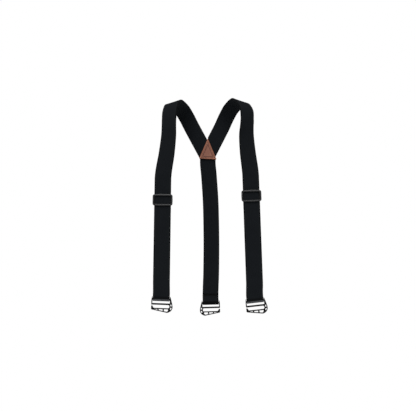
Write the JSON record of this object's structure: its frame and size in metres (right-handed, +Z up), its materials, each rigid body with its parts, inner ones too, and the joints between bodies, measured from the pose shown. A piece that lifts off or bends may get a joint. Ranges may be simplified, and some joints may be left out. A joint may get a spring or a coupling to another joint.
{
  "type": "trouser braces",
  "caption": "Elastic webbing braces in a Y shape: leather back patch, slide adjusters on the front straps and open moulded hooks on every strap end.",
  "frame": {"origin": "midway between the two shoulder arches, at the height of their crests", "axes": "+Z up towards the shoulders, +X to the right of someone facing the wearer's chest, the chest straps lie at -Y and the back strap at +Y"},
  "size_m": [0.2625, 0.1372, 0.5159],
  "materials": {
    "webbing": "black elastic webbing, fine ribs",
    "thread": "black polyester thread",
    "leather_thread": "brown waxed thread",
    "leather": "brown full-grain leather, matt",
    "adjuster_plastic": "black moulded nylon, satin",
    "hook_plastic": "black moulded acetal, satin"
  },
  "bodies": {
    "yoke": {"left_shoulder_strap": "webbing", "right_shoulder_strap": "webbing", "front_patch": "leather", "rear_patch": "leather", "front_patch_stitching": "leather_thread", "rear_patch_stitching": "leather_thread", "back_strap_anchor": "webbing"},
    "left_front": {"left_front_strap": "webbing"},
    "left_strap_end": {"left_hook_loop": "webbing", "left_loop_front": "webbing"},
    "left_adjuster": {"left_adjuster": "adjuster_plastic", "left_tail": "webbing", "left_tail_stitching": "thread"},
    "left_hook": {"left_hook": "hook_plastic"},
    "right_front": {"right_front_strap": "webbing"},
    "right_strap_end": {"right_hook_loop": "webbing", "right_loop_front": "webbing"},
    "right_adjuster": {"right_adjuster": "adjuster_plastic", "right_tail": "webbing", "right_tail_stitching": "thread"},
    "right_hook": {"right_hook": "hook_plastic"},
    "back_strap": {"back_strap": "webbing", "back_tab_stitching": "thread"},
    "back_hook": {"back_hook": "hook_plastic"}
  },
  "joints": [
    {"name": "left_strap_swing", "type": "hinge", "parent": "yoke", "child": "left_front", "pos_m": [-0.0932, -0.063, -0.127], "axis": [-0.9634, 0.2494, 0.0984], "range_deg": [-30, 60]},
    {"name": "left_strap_length", "type": "slide", "parent": "left_front", "child": "left_strap_end", "axis": [0.0096, 0.0167, 0.9998], "range_m": [-0.1, 0.013], "deforming": ["left_loop_front"]},
    {"name": "left_adjuster_slide", "type": "slide", "parent": "left_strap_end", "child": "left_adjuster", "axis": [0.0096, 0.0167, 0.9998], "range_m": [-0.1, 0.013], "deforming": ["left_tail"]},
    {"name": "left_hook_swing", "type": "hinge", "parent": "left_strap_end", "child": "left_hook", "pos_m": [-0.1042, -0.0676, -0.46226], "axis": [0.9993, -0.0005, -0.0375], "range_deg": [-95, 95]},
    {"name": "right_strap_swing", "type": "hinge", "parent": "yoke", "child": "right_front", "pos_m": [0.0924, -0.063, -0.127], "axis": [-0.9662, -0.2475, -0.0726], "range_deg": [-30, 60]},
    {"name": "right_strap_length", "type": "slide", "parent": "right_front", "child": "right_strap_end", "axis": [-0.0313, 0.016, 0.9994], "range_m": [-0.1, 0.013], "deforming": ["right_loop_front"]},
    {"name": "right_adjuster_slide", "type": "slide", "parent": "right_strap_end", "child": "right_adjuster", "axis": [-0.0313, 0.016, 0.9994], "range_m": [-0.1, 0.013], "deforming": ["right_tail"]},
    {"name": "right_hook_swing", "type": "hinge", "parent": "right_strap_end", "child": "right_hook", "pos_m": [0.1074, -0.0676, -0.46605], "axis": [0.9938, 0.0013, 0.1114], "range_deg": [-95, 95]},
    {"name": "back_strap_swing", "type": "hinge", "parent": "yoke", "child": "back_strap", "pos_m": [0.0007, 0.0621, -0.13], "axis": [1, 0, 0], "range_deg": [-45, 60]},
    {"name": "back_hook_swing", "type": "hinge", "parent": "back_strap", "child": "back_hook", "pos_m": [0.0076, 0.053, -0.473], "axis": [0.9996, 0.0027, 0.0271], "range_deg": [-95, 95]}
  ],
  "couplings": [
    {"joint": "left_adjuster_slide", "follows": "left_strap_length", "ratio": 1},
    {"joint": "right_adjuster_slide", "follows": "right_strap_length", "ratio": 1}
  ]
}
